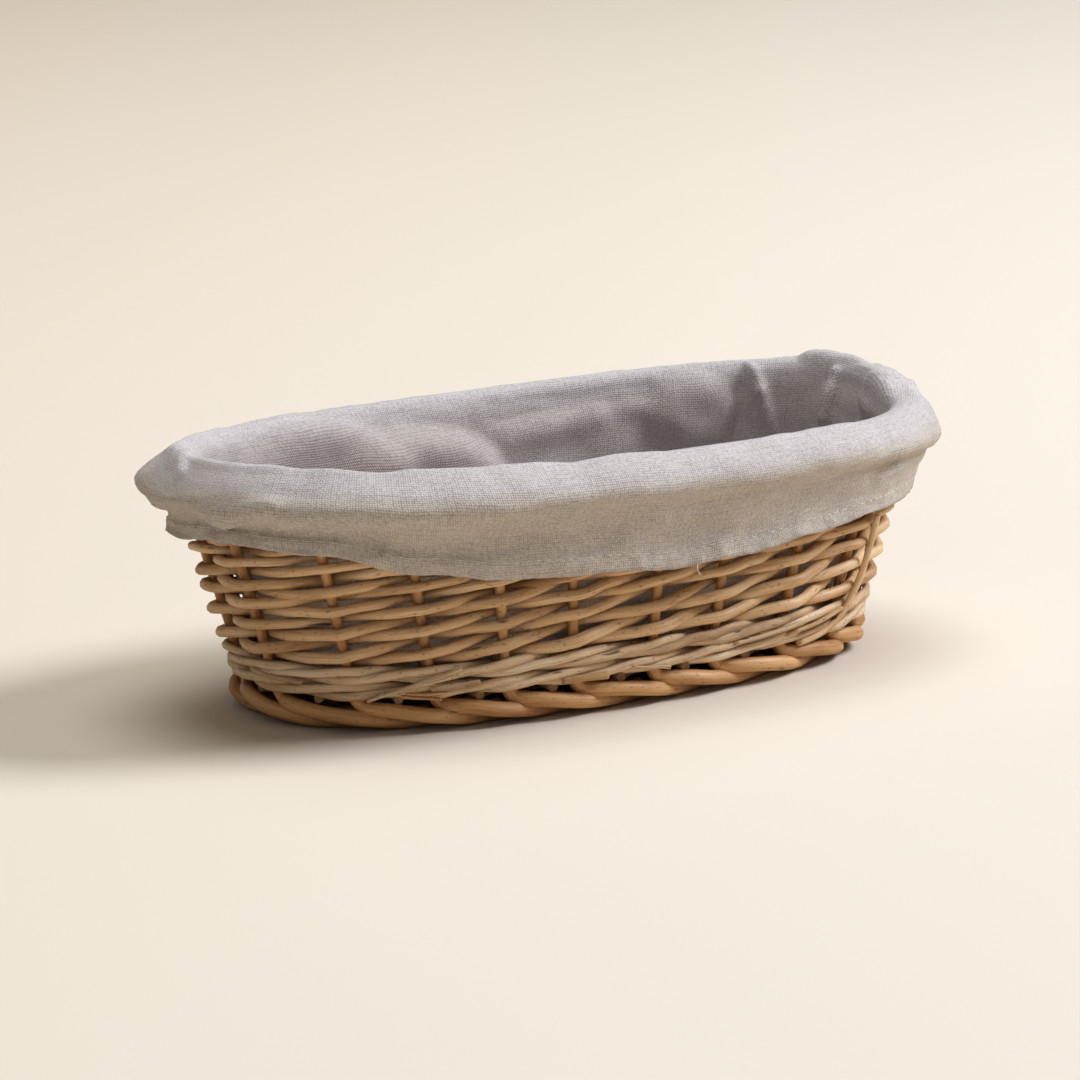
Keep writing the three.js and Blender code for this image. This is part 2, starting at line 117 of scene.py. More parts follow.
class Shader:
    """A material and the one method that adds its nodes."""

    def __init__(self, name):
        self.material = bpy.data.materials.new(name)
        self.material.use_nodes = True
        self.tree = self.material.node_tree
        self.surface = self.tree.nodes["Principled BSDF"]

    def add(self, kind, settings, inputs, output=0):
        node = self.tree.nodes.new(kind)
        for name, setting in settings.items():
            setattr(node, name, setting)
        self.feed(node, inputs)
        return Value(self, node.outputs[output])

    def feed(self, node, inputs):
        for name, value in inputs.items():
            socket = node.inputs[name]
            if isinstance(value, Value):
                self.tree.links.new(value.socket, socket)
            else:
                socket.default_value = (*value, 1) if socket.type == "RGBA" else value

    def attribute(self, name, output="Fac"):
        return self.add("ShaderNodeAttribute", {"attribute_name": name}, {}, output)

    def stretched(self, vector, scale):
        return self.add("ShaderNodeVectorMath", {"operation": "MULTIPLY"}, {0: vector, 1: scale})

    def noise(self, vector, scale, detail, roughness=0.5):
        vector = self.stretched(vector, scale)
        inputs = {"Vector": vector, "Scale": 1, "Detail": detail, "Roughness": roughness}
        return self.add("ShaderNodeTexNoise", {}, inputs)

    def between(self, value, low, high):
        inputs = {"Value": value, "From Min": low, "From Max": high}
        return self.add("ShaderNodeMapRange", {"interpolation_type": "SMOOTHSTEP"}, inputs)

    def mixed(self, factor, first, second, blend="MIX"):
        """Mixes two colours, which are inputs 6 and 7 of a Mix node, into its output 2."""
        settings = {"data_type": "RGBA", "blend_type": blend}
        return self.add("ShaderNodeMix", settings, {0: factor, 6: first, 7: second}, 2)

    def finish(self, colour, roughness, height, depth, strength):
        bump = self.add("ShaderNodeBump", {}, {"Height": height, "Distance": depth, "Strength": strength})
        self.feed(self.surface, {"Base Color": colour, "Roughness": roughness, "Normal": bump})
        return self.material


print("shader helpers ready")

# %% [markdown]
# ## Willow
# Each rod carries an attribute called rod: across the rod in x and y, along it in z. Noise that is
# stretched along z turns into grain, slow noise gives the golden, olive and reddish stretches that a rod
# has, slower noise gives each rod its own tone, and high thresholds leave the specks and a few dark knots.
# Object coordinates would run the grain the same way through every rod. A second attribute, outside, is 0
# on the inner side of the wall, where rods pass behind the stakes, and 1 outside; where it is low, painted
# shade darkens the colour.

# %% Willow finish
# Each pattern: repeats per metre across and along the rod, and the detail and roughness of its noise.
PATTERNS = {
    "whole rod": (15, 5, 0, 0.5),
    "stretches": (180, 26, 3, 0.6),
    "stain": (260, 60, 4, 0.7),
    "grain": (1400, 40, 3, 0.7),
    "specks": (1000, 500, 1, 0.5),
    "knots": (420, 110, 1, 0.5),
}
# Each mark, in order: where its pattern starts and is full, how much it covers, and its colour, or None for
# the brown of the finish.
MARKS = {
    "stain": (0.55, 0.75, 0.5, None),
    "grain": (0.46, 0.76, 0.55, None),
    "specks": (0.64, 0.74, 0.5, (0.12, 0.05, 0.02)),
    "knots": (0.72, 0.8, 0.85, (0.05, 0.025, 0.012)),
}
TONE_STOPS = (0.28, 0.5, 0.72)
# Painted shade for the inner side of the wall, and how much of it shows where outside is 0.
INNER_PAINTED_SHADE, INNER_SHADE_SHARE = (0.13, 0.055, 0.02), 0.6
WILLOW_RELIEF, WILLOW_BUMP = 0.0005, 0.6


def willow(name, pale, golden, brown, roughness):
    shader = Shader(name)
    rod = shader.attribute("rod", "Vector")
    patterns = {}
    for pattern, (across, along, detail, roughening) in PATTERNS.items():
        patterns[pattern] = shader.noise(rod, (across, across, along), detail, roughening)
    stretches, grain = patterns["stretches"], patterns["grain"]
    tone = stretches * 0.75 + patterns["whole rod"] * 0.6 - 0.175
    colour = shader.add("ShaderNodeValToRGB", {}, {0: tone})
    stops = colour.socket.node.color_ramp.elements
    stops.new(TONE_STOPS[1])
    for stop, position, tint in zip(stops, TONE_STOPS, (brown, golden, pale)):
        stop.position = position
        stop.color = (*tint, 1)
    marks = {}
    for mark, (start, full, cover, mark_colour) in MARKS.items():
        marks[mark] = shader.between(patterns[mark], start, full)
        colour = shader.mixed(marks[mark] * cover, colour, mark_colour or brown)
    # Painted shade: the lower outside is, the darker the rod.
    colour = shader.mixed((1 - shader.attribute("outside")) * INNER_SHADE_SHARE, colour, INNER_PAINTED_SHADE)
    height = grain * 0.7 + stretches * 0.3 - marks["knots"] * 0.8
    return shader.finish(colour, grain * 0.2 + roughness, height, WILLOW_RELIEF, WILLOW_BUMP)


# Each finish: pale, golden and brown, and the roughness.
WILLOWS = {
    "stake_willow": ((0.84, 0.52, 0.245), (0.66, 0.37, 0.155), (0.3, 0.115, 0.038), 0.4),
    "weaver_willow": ((0.95, 0.72, 0.46), (0.77, 0.51, 0.28), (0.34, 0.155, 0.058), 0.4),
    "wale_willow": ((0.92, 0.76, 0.57), (0.75, 0.555, 0.36), (0.32, 0.17, 0.075), 0.48),
    "base_willow": ((0.7, 0.48, 0.26), (0.58, 0.36, 0.17), (0.3, 0.15, 0.06), 0.5),
}
FINISHES = {name: willow(name, *values) for name, values in WILLOWS.items()}
print("willow finishes:", ", ".join(FINISHES))

# %% [markdown]
# ## The plan of the wall
# The wall is an oval that grows from the foot to the rim. Much the same formulas as in the solids place
# every piece: a position round the wall is counted in stakes, with a stake at each whole number, and the
# other two numbers are the distance outwards and the height. A basket is made by hand, so `LEAN` moves each
# stake a little from its even place, by shares of the gap to the next one, and the rim isn't level: its
# right end is highest at the back corner and dips at the front one.

# %% Wall plan
STAKES = 22
FOOT_LENGTH, FOOT_WIDTH, RIM_LENGTH, RIM_WIDTH = 0.214, 0.110, 0.254, 0.132
FOOT_TOP, RIM_HEIGHT = 0.01008, 0.077
RIGHT_BACK_RISE, RIGHT_FRONT_RISE, LEFT_RISE = 0.004, -0.004, -0.0005
FRONT_Y, BACK_Y = -0.06, 0.01
OVAL_POWER = 2.4
LEAN = [
    0.05, -0.04, 0.03, 0.06, -0.05, -0.02, 0.04, -0.06, 0.02, -0.08, -0.2,
    -0.2, -0.05, -0.06, -0.09, -0.16, 0.01, -0.04, 0.14, 0.26, 0.12, 0.06,
]


def oval_radius(angle, half_length, half_width):
    along = abs(math.cos(angle) / half_length) ** OVAL_POWER
    across = abs(math.sin(angle) / half_width) ** OVAL_POWER
    return (along + across) ** (-1 / OVAL_POWER)


def mid_oval(angle):
    radius = oval_radius(angle, (FOOT_LENGTH + RIM_LENGTH) / 4, (FOOT_WIDTH + RIM_WIDTH) / 4)
    return Vector((radius * math.cos(angle), radius * math.sin(angle)))


OVAL_SAMPLES = 720
arc_lengths = [0]
for sample in range(OVAL_SAMPLES):
    step = mid_oval((sample + 1) * math.tau / OVAL_SAMPLES) - mid_oval(sample * math.tau / OVAL_SAMPLES)
    arc_lengths.append(arc_lengths[-1] + step.length)


def wall_angle(stakes):
    turn, share = divmod((stakes + 0.5) / STAKES, 1)
    wanted = share * arc_lengths[-1]
    low = min(bisect_right(arc_lengths, wanted), OVAL_SAMPLES) - 1
    part = (wanted - arc_lengths[low]) / (arc_lengths[low + 1] - arc_lengths[low])
    return (turn + (low + part) / OVAL_SAMPLES) * math.tau


def half_sizes(height):
    flare = min(max((height - FOOT_TOP) / (RIM_HEIGHT - FOOT_TOP), 0), 1)
    length = FOOT_LENGTH + (RIM_LENGTH - FOOT_LENGTH) * flare
    width = FOOT_WIDTH + (RIM_WIDTH - FOOT_WIDTH) * flare
    return length / 2, width / 2


def eased(value, low, high):
    """Goes smoothly from 0 at low to 1 at high."""
    share = min(max((value - low) / (high - low), 0), 1)
    return share * share * (3 - 2 * share)


def from_table(table, stakes, ease=False):
    """A value between those that a table has for each stake."""
    whole = math.floor(stakes)
    share = eased(stakes, whole, whole + 1) if ease else stakes - whole
    return table[whole % STAKES] * (1 - share) + table[(whole + 1) % STAKES] * share


def end_rise(x, y):
    right_rise = RIGHT_FRONT_RISE + (RIGHT_BACK_RISE - RIGHT_FRONT_RISE) * eased(y, FRONT_Y, BACK_Y)
    return 1 + (right_rise if x > 0 else LEFT_RISE) / RIM_HEIGHT * (x / (RIM_LENGTH / 2)) ** 2


def wall(stakes, out, height, flare_height=None, lean=True):
    angle = wall_angle(stakes + from_table(LEAN, stakes) if lean else stakes)
    half_length, half_width = half_sizes(height if flare_height is None else flare_height)
    radius = oval_radius(angle, half_length, half_width)
    x, y = radius * math.cos(angle), radius * math.sin(angle)
    slope_x = math.copysign(abs(x / half_length) ** (OVAL_POWER - 1) / half_length, x)
    slope_y = math.copysign(abs(y / half_width) ** (OVAL_POWER - 1) / half_width, y)
    return Vector((x, y, height * end_rise(x, y))) + Vector((slope_x, slope_y, 0)).normalized() * out


print("gap between stakes at half height:", round(arc_lengths[-1] / STAKES * 1000, 1), "mm")

# %% [markdown]
# ## One way to make a rod
# A curve with a bevel would give a tube too, but then its thickness, its cut ends and the rod attribute
# would be out of reach. Here a circle is extruded along the rod, ring by ring: each ring is the last one
# extruded and carried to the next station by a matrix, and the two ends are capped flat as if cut. Slow
# noise makes the rod swell, thin and wander a little.

# %% Rod maker
# Where the noise of a seed lies, and how fast a rod swells and wanders with it.
SEED_ALONG, SEED_ASIDE, SWELL_RATE, WANDER_RATE = 0.37, 3.1, 60, 1.7
# Without a seed of its own, noise_vector changes from one run of Blender to the next.
noise.seed_set(1)


def smoothed(stations, steps):
    """Points and radii on a smooth curve through the stations."""
    line = []
    for index in range(len(stations) - 1):
        ends = [stations[min(max(index + k, 0), len(stations) - 1)] for k in (-1, 0, 1, 2)]
        for step in range(steps):
            t = step / steps
            weights = (
                (-t + 2 * t**2 - t**3) / 2,
                (2 - 5 * t**2 + 3 * t**3) / 2,
                (t + 4 * t**2 - 3 * t**3) / 2,
                (t**3 - t**2) / 2,
            )
            point = sum((weight * end[0] for weight, end in zip(weights, ends)), Vector())
            line.append((point, sum(weight * end[1] for weight, end in zip(weights, ends))))
    return line + [stations[-1]]


def rod_frames(stations, seed, wobble, wander, flat):
    """The matrix of each ring of a rod, how far along the rod it is, and its radius."""
    frames = []
    travelled = seed * SEED_ALONG
    up = Vector((0, 0, 1))
    for index, (point, radius) in enumerate(stations):
        before = stations[max(index - 1, 0)][0]
        after = stations[min(index + 1, len(stations) - 1)][0]
        ahead = (after - before).normalized()
        up = (up - ahead * up.dot(ahead)).normalized()
        travelled += (point - before).length
        key = Vector((travelled * SWELL_RATE, seed * SEED_ASIDE, 0))
        swell = radius * (1 + wobble * noise.noise(key))
        shift = noise.noise_vector(key * WANDER_RATE) * wander
        columns = (ahead.cross(up) * swell, up * swell * flat, ahead, point + shift)
        place = Matrix([[column[row] for column in columns] for row in range(3)] + [[0, 0, 0, 1]])
        frames.append((place, travelled, swell))
    return frames


def add_rod(bm, stations, sides, seed, wobble=0.06, wander=0.0002, flat=1):
    rod_place = bm.verts.layers.float_vector["rod"]
    frames = rod_frames(stations, seed, wobble, wander, flat)
    ring = bmesh.ops.create_circle(bm, segments=sides, radius=1, matrix=frames[0][0])["verts"]
    edges = list({edge for vert in ring for edge in vert.link_edges})
    caps = [edges]
    for index, (place, travelled, radius) in enumerate(frames):
        if index:
            made = bmesh.ops.extrude_edge_only(bm, edges=edges)["geom"]
            ring = [item for item in made if isinstance(item, bmesh.types.BMVert)]
            corners = set(ring)
            new_edges = [item for item in made if isinstance(item, bmesh.types.BMEdge)]
            edges = [edge for edge in new_edges if set(edge.verts) <= corners]
            bmesh.ops.transform(bm, matrix=place @ frames[index - 1][0].inverted(), verts=ring)
        back = place.inverted()
        for vert in ring:
            local = back @ vert.co
            vert[rod_place] = (local.x * radius, local.y * radius, travelled)
    caps.append(edges)
    for face in bm.faces:
        face.smooth = True
    for cap in caps:
        bmesh.ops.edgeloop_fill(bm, edges=cap)
    bmesh.ops.recalc_face_normals(bm, faces=bm.faces)


print("rod maker ready")

# %% [markdown]
# ## From a mesh to a piece
# A piece rides on one body of the frame and says which solids it stands for. A rod of the wall also notes how
# far each of its points stands out, which the willow finish turns into painted shade on the inner side. The
# base is inside, so its rods keep 0 there and take that painted shade all over.

# %% Pieces
# Between these distances from the wall, the painted shade of the inner side fades out.
WELL_INSIDE, WELL_OUTSIDE = -0.005, 0.0035


def new_rods():
    bm = bmesh.new()
    bm.verts.layers.float_vector.new("rod")
    bm.verts.layers.float.new("outside")
    return bm


def mark_outside(bm):
    outside = bm.verts.layers.float["outside"]
    for vert in bm.verts:
        x, y, height = vert.co
        out = math.hypot(x, y) - oval_radius(math.atan2(y, x), *half_sizes(height))
        vert[outside] = eased(out, WELL_INSIDE, WELL_OUTSIDE)


def mesh_object(name, bm, material):
    mesh = bpy.data.meshes.new(name)
    bm.to_mesh(mesh)
    bm.free()
    mesh.materials.append(material)
    made = bpy.data.objects.new(name, mesh)
    scene.collection.objects.link(made)
    return made


def piece(name, bm, finish, body, nodes=()):
    made = mesh_object(name, bm, FINISHES[finish])
    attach(made, body)
    if nodes:
        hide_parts(*nodes)
    return made


def rod_piece(name, finish, nodes, stations, in_wall=True, **looks):
    """One rod of the basket, kept above the table. Its looks are what add_rod takes."""
    bm = new_rods()
    add_rod(bm, stations, **looks)
    for vert in bm.verts:
        vert.co.z = max(vert.co.z, 0)
    if in_wall:
        mark_outside(bm)
    return piece(name, bm, finish, "basket", nodes)


def print_made(kind, pieces):
    triangles = sum(len(face.vertices) - 2 for made in pieces for face in made.data.polygons)
    print(f"{kind}: {len(pieces)}, with {triangles} triangles")


print("piece maker ready")

# %% [markdown]
# ## Stakes, foot border and rim border
# A stake is one long rod. Its thick end is rolled into the foot border with its neighbours, it stands up
# through the wall, and its thin end is rolled into the rim border, which only shows when the liner is
# lifted off. In the foot border each rod is one of four strands that turn round a centre line, and in the
# rim border one of three, so its path there is a helix round the oval. The lower strands of the foot are
# tucked in a little, which leaves a dark line under the basket; painted shade of the inner side darkens them
# too.

# %% Stakes
FOOT_ROD, STAKE_ROD, RIM_ROD = 0.00242, 0.00165, 0.0015
FOOT_OUT, FOOT_UP, FOOT_CENTRE, FOOT_TUCK = 0.0041, 0.0028, 0.0050, 0.0065
FOOT_TURN, FOOT_GAPS, FOOT_SAMPLES = math.tau / 4, 3, 4
RIM_TURN, RIM_STATIONS, RIM_SAMPLES = math.tau / 3, 7, 3
RIM_HELIX = 0.00209
FOOT_BEND, RIM_BEND = FOOT_CENTRE + FOOT_UP, RIM_HEIGHT - RIM_HELIX
# The upright part with the bends at its two ends: stakes ahead, height and radius.
UPRIGHT = [
    (0.1, FOOT_BEND + 0.0006, FOOT_ROD),
    (0, FOOT_BEND + 0.0036, (FOOT_ROD + STAKE_ROD) / 2),
    *((0, height, STAKE_ROD) for height in (0.0135, 0.026, 0.04, 0.056, 0.0686)),
    (0, RIM_BEND - RIM_ROD, RIM_ROD),
    (0.06, RIM_BEND - RIM_ROD / 4, RIM_ROD),
]


def stake_stations(stake):
    stations = []
    for step in range(FOOT_GAPS * FOOT_SAMPLES, 0, -1):
        along = step / FOOT_SAMPLES
        phase = math.pi / 2 - along * FOOT_TURN
        height = FOOT_CENTRE + FOOT_UP * math.sin(phase)
        out = FOOT_OUT * math.cos(phase) - FOOT_TUCK * ((1 - math.sin(phase)) / 2) ** 2
        stations.append((wall(stake + along, out, height, 0), FOOT_ROD))
    for ahead, height, radius in UPRIGHT:
        stations.append((wall(stake + ahead, 0, height), radius))
    for step in range(1, RIM_STATIONS + 1):
        along = step / RIM_SAMPLES
        phase = along * RIM_TURN - math.pi / 2
        height = RIM_HEIGHT + RIM_HELIX * math.sin(phase)
        stations.append((wall(stake + along, RIM_HELIX * math.cos(phase), height, RIM_HEIGHT), RIM_ROD))
    return stations


stakes_made = []
for stake in range(STAKES):
    node, stations = f"stake_{stake + 1:02d}", smoothed(stake_stations(stake), steps=5)
    stakes_made.append(rod_piece(f"willow_{node}", "stake_willow", [node], stations, sides=10, seed=stake))
print_made("stakes", stakes_made)

# %% [markdown]
# ## The woven wall
# One rod starts behind each stake and goes in front of one stake and behind the next, and all of them
# climb together. So at every stake a rod crosses in front at the same heights, and each rod slants up to
# the right. A rod bends sharply where it meets a stake and runs straight between, so its distance outwards
# is a triangle wave with rounded tips rather than a sine. The solids have level rows instead, so one or two
# of these rods take the place of each row.

# %% Weavers
WEAVER_ROD, WEAVER_REACH, WEAVER_TAPER = 0.00186, 0.0036, 0.22
WEAVER_THICKNESS, HEIGHT_DRIFT = (0.93, 1.06), 0.0008
CROSSING_HEIGHTS = [
    0.0222, 0.0255, 0.0295, 0.0334, 0.0371, 0.0407, 0.0439,
    0.0470, 0.0503, 0.0536, 0.0569, 0.0602, 0.0635, 0.0666,
]
WAVE_ROUNDING = 0.99
WEAVER_DICE, GAP_SAMPLES = 100, 10


def weaver_stations(weaver):
    dice = random.Random(WEAVER_DICE + weaver)
    heights = [height + dice.uniform(-HEIGHT_DRIFT, HEIGHT_DRIFT) for height in CROSSING_HEIGHTS]
    thick = WEAVER_ROD * dice.uniform(*WEAVER_THICKNESS)
    last = len(heights) - 1
    stations = []
    for sample in range(-1, last * GAP_SAMPLES + 2):
        count = sample / GAP_SAMPLES
        wave = math.asin(WAVE_ROUNDING * -math.cos(math.pi * count)) / math.asin(WAVE_ROUNDING)
        index = min(max(int(count), 0), last - 1)
        height = heights[index] + (heights[index + 1] - heights[index]) * (count - index)
        radius = thick * (1 - WEAVER_TAPER * count / last)
        stations.append((wall(weaver + count, wave * WEAVER_REACH, height), radius))
    return stations


level_rows = [name for name in sorted(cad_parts) if name.startswith("weaver_row")]
weavers = []
for weaver in range(STAKES):
    name, nodes = f"willow_weaver_{weaver + 1:02d}", [level_rows[weaver % len(level_rows)]]
    looks = {"sides": 9, "seed": 50 + weaver, "wobble": 0.16, "wander": 0.0006}
    weavers.append(rod_piece(name, "weaver_willow", nodes, weaver_stations(weaver), **looks))
print_made("weavers", weavers)

# %% [markdown]
# ## Waling
# Two bands of thin, pale rods lock the stakes above the foot. Three rods make a band: each passes in front
# of two stakes, climbing from the lower place to the upper one, and then behind the third. The rods are
# side shoots and not quite round, so they wander more and are flattened a little.

# %% Waling
WALE_ROD, WALE_REACH = 0.0013, 0.0031
WALE_THICKNESS, WALE_DRIFT = (0.88, 1.1), 0.0004
WALE_LOW, WALE_LAYER = 0.0123, 0.0026
WALE_BANDS, WALE_RODS, WALE_STROKES, WALE_DICE = 2, 3, 7, 300
# One stroke, from behind a stake: stakes ahead, and shares of the reach outwards and of the climb.
WALE_STROKE = [(0, -1, 0.5), (0.6, 0.3, 0), (1, 1, 0), (1.5, 1.05, 0.5), (2, 1, 1), (2.4, 0.3, 1)]


def wale_stations(rod):
    dice = random.Random(WALE_DICE + rod)
    band, first = divmod(rod, WALE_RODS)
    low = WALE_LOW + 2 * WALE_LAYER * band
    stations = []
    for stroke in range(WALE_STROKES):
        drift = dice.uniform(-WALE_DRIFT, WALE_DRIFT)
        for ahead, out, climb in WALE_STROKE:
            height = low + climb * WALE_LAYER + (drift if ahead else 0)
            radius = WALE_ROD * dice.uniform(*WALE_THICKNESS)
            stations.append((wall(first + WALE_RODS * stroke + ahead, out * WALE_REACH, height), radius))
    end = wall(first + WALE_RODS * WALE_STROKES, -WALE_REACH, low + WALE_LAYER / 2)
    return stations + [(end, WALE_ROD)]


wales = []
for rod in range(WALE_BANDS * WALE_RODS):
    name, nodes = f"willow_wale_{rod + 1:02d}", [f"wale_rod_{rod + 1:02d}"]
    looks = {"sides": 8, "seed": 90 + rod, "wobble": 0.16, "wander": 0.0005, "flat": 1.12}
    wales.append(rod_piece(name, "wale_willow", nodes, smoothed(wale_stations(rod), steps=4), **looks))
print_made("waling rods", wales)

# %% [markdown]
# ## Odd ends
# A hand-made basket keeps some loose willow: a thin rod pushed in beside a stake, a rod that has split
# open, splinters, and the cut ends of rods that ran out. Each is a short rod whose stations are given as
# stakes, distance outwards and height in millimetres, and a flat one is a split half.

# %% Odd ends
# Each odd end: its finish, radius in millimetres, flatness and stations.
ODD_ENDS = [
    (
        "weaver_willow", 1.1, 1,
        [
            (19.35, 6.2, 49), (19.36, 6.3, 38), (19.3, 6, 26),
            (19.12, 5.6, 17.5), (18.85, 4.6, 12.6), (18.4, 3.6, 10.5),
        ],
    ),
    ("wale_willow", 1.5, 0.45, [(12.15, 5.2, 11.2), (12.6, 6, 15.2), (13.03, 5.6, 18.4), (13.3, 3.8, 20)]),
    ("wale_willow", 1.1, 0.5, [(12.3, 5.6, 13), (12.75, 6.2, 15.8), (13.15, 5.4, 18)]),
    ("wale_willow", 0.6, 0.5, [(15.6, 4.6, 13.9), (15.9, 5.6, 12.8), (16.12, 6.2, 11.9)]),
    ("wale_willow", 0.5, 0.6, [(15.7, 4.8, 13.3), (15.95, 5.6, 13), (16.14, 6, 12.3)]),
    ("base_willow", 1.3, 1, [(14.6, 4, 12.2), (14.95, 5, 12.6), (15.22, 5.4, 12.6)]),
    ("wale_willow", 1.2, 0.8, [(12.9, 4.2, 14), (13.2, 5.4, 14.6), (13.5, 5.6, 15.2)]),
    ("stake_willow", 0.9, 0.5, [(12.55, 4.6, 12.4), (12.8, 5.6, 11.6), (13.0, 6, 11)]),
    ("stake_willow", 0.8, 0.6, [(12.6, 4.6, 13.2), (12.85, 5.6, 12.8), (13.06, 6, 12.8)]),
    ("wale_willow", 1.2, 0.7, [(17.2, 3.8, 15.4), (17.7, 5, 16.6), (18.3, 5, 18)]),
    ("base_willow", 1.1, 0.6, [(18.1, 4, 14.6), (18.6, 5.2, 16.4), (19.1, 5.2, 19)]),
    ("wale_willow", 1.0, 0.7, [(10.6, 4, 17.6), (11.0, 5.2, 17), (11.4, 5.2, 16.2)]),
]
odd_ends = []
for order, (finish, radius, flat, places) in enumerate(ODD_ENDS):
    stations = []
    for stakes, out, height in places:
        stations.append((wall(stakes, out / 1000, height / 1000, lean=False), radius / 1000))
    name, stations = f"willow_odd_end_{order + 1:02d}", smoothed(stations, steps=5)
    looks = {"sides": 8, "seed": 160 + order, "wobble": 0.2, "wander": 0.0003, "flat": flat}
    odd_ends.append(rod_piece(name, finish, (), stations, **looks))
print_made("odd ends", odd_ends)

# %% [markdown]
# ## The base
# Six cross sticks are slit and five long sticks pass through the slits. Their ends come out through the
# gaps between the stakes, just above the foot border, where the round cut ends show. Two thin rods are
# woven over and under the sticks, each a round behind the other. The base is only seen from below, so
# each stick is a plain rod, and the swell at a slit is a change of radius.

# %% Base
CROSS_STICKS, LONG_STICKS, BASE_WEAVERS, BASE_ROUNDS = 6, 5, 2, 3
CROSS_STICK, LONG_STICK, BASE_WEAVER, BASE_REACH = 0.0016, 0.0014, 0.0012, 0.0031
STICK_HEIGHT, STICK_END = 0.0104, 0.0022
SLIT_HALF, SLIT_SWELL, SLIT_TAPER = 0.0077, 0.0026, 0.0035
FIRST_CROSS_GAP, LONG_STICK_GAP = 3, 0.0029
FAN_INSET, FAN_BEND, FAN_SPREAD = 0.008, 0.005, 1.3
# Where the weaving ends inside the foot, and where it starts beyond a slit or along the fan.
WOVEN_END, WOVEN_START, FAN_START = -0.009, 0.0015, 0.3


def gap_point(gap, out):
    point = wall(gap - 0.5, out, 0, 0, lean=False)
    point.z = STICK_HEIGHT * end_rise(point.x, point.y)
    return point


fan_x = gap_point(FIRST_CROSS_GAP, 0).x + FAN_INSET


def spoke(gap):
    """The part of a stick, in one gap, that the base weavers cross."""
    outer = gap_point(gap, WOVEN_END)
    from_end = min(gap, STAKES - gap, abs(STAKES // 2 - gap))
    if from_end >= FIRST_CROSS_GAP:
        x = gap_point(gap, 0).x
        start = math.copysign(SLIT_HALF + SLIT_TAPER + WOVEN_START, outer.y)
        return Vector((x, start, STICK_HEIGHT)), Vector((x, outer.y, STICK_HEIGHT))
    y = math.copysign(from_end, outer.y) * LONG_STICK_GAP
    inner = Vector((math.copysign(fan_x, outer.x), y, STICK_HEIGHT))
    return inner.lerp(outer, FAN_START), outer


def base_rod(node, stations, **looks):
    return rod_piece(f"willow_{node}", "base_willow", [node], stations, in_wall=False, **looks)


base_pieces = []
for order in range(CROSS_STICKS):
    gap = order + FIRST_CROSS_GAP
    x, reach = gap_point(gap, 0).x, gap_point(gap, STICK_END).y
    places = [(-reach, CROSS_STICK), (-SLIT_HALF - SLIT_TAPER, CROSS_STICK), (-SLIT_HALF, SLIT_SWELL)]
    places += [(-y, radius) for y, radius in reversed(places)]
    stations = smoothed([(Vector((x, y, STICK_HEIGHT)), radius) for y, radius in places], steps=4)
    base_pieces.append(base_rod(f"base_cross_stick_{order + 1:02d}", stations, sides=10, seed=120 + order))
for order in range(LONG_STICKS):
    from_middle = order - LONG_STICKS // 2
    end, y = gap_point(from_middle, STICK_END), from_middle * LONG_STICK_GAP
    points = [(fan_x - FAN_BEND, y), (fan_x + FAN_BEND, y * FAN_SPREAD), (end.x, end.y)]
    points = [(-x, y) for x, y in reversed(points)] + points
    stations = smoothed([(Vector((x, y, STICK_HEIGHT)), LONG_STICK) for x, y in points], steps=5)
    base_pieces.append(base_rod(f"base_long_stick_{order + 1:02d}", stations, sides=10, seed=130 + order))
for weaver in range(BASE_WEAVERS):
    stations = []
    for crossing in range(BASE_ROUNDS * STAKES):
        inner, outer = spoke(crossing % STAKES)
        point = inner.lerp(outer, (weaver / BASE_WEAVERS + crossing / STAKES) / BASE_ROUNDS)
        point.z = STICK_HEIGHT + BASE_REACH * (1 if (crossing + weaver) % 2 == 0 else -1)
        stations.append((point, BASE_WEAVER))
    stations = smoothed(stations, steps=4)
    base_pieces.append(base_rod(f"base_weaver_{weaver + 1:02d}", stations, sides=7, seed=140 + weaver))
print_made("base pieces", base_pieces)

# %% [markdown]
# ## Linen
# The liner is plain-woven linen with threads about 0.8 mm apart, so the weave just shows. The cloth's UV
# map holds its flat place in metres. Two waves of that length, one along the warp and one along the weft,
# are multiplied into a chequer of raised threads. Noise drawn out along each set of threads makes some of
# them thicker and darker, as linen's are. The colour inside the basket is darker, which is painted shade, and
# three attributes paint light and shade over it: a paler, cooler painted light on top of the rim, a warmer
# painted light on the skirt below the rim as if thrown up from the paper, and painted shade in the holes of
# the weave where it is drawn so tight that it opens. The reverse is paler: it stands for the light that comes
# through thin cloth, and shows grey between the rods of the wall.

# %% Linen finish
THREADS = 1 / 0.00078
# How far the threads waver, and how often the other patterns repeat, per metre.
WAVER, WAVER_RATE, SLUB_RATE, SPECKLE_RATE, CLOUD_RATE = 0.0022, 60, 130, 950, 60
DARKEST, PALEST, SHADE = -0.25, 0.55, (0.58, 0.56, 0.55)
OPEN_PAINTED_SHADE, OPEN_SHADE_SHARE = (0.2, 0.12, 0.11), 0.65
LINEN_SURFACE = {"Sheen Weight": 0.2, "Sheen Roughness": 0.6, "Specular IOR Level": 0.2}
LINEN_ROUGHNESS, LINEN_RELIEF, LINEN_BUMP = 0.92, 0.0004, 0.5


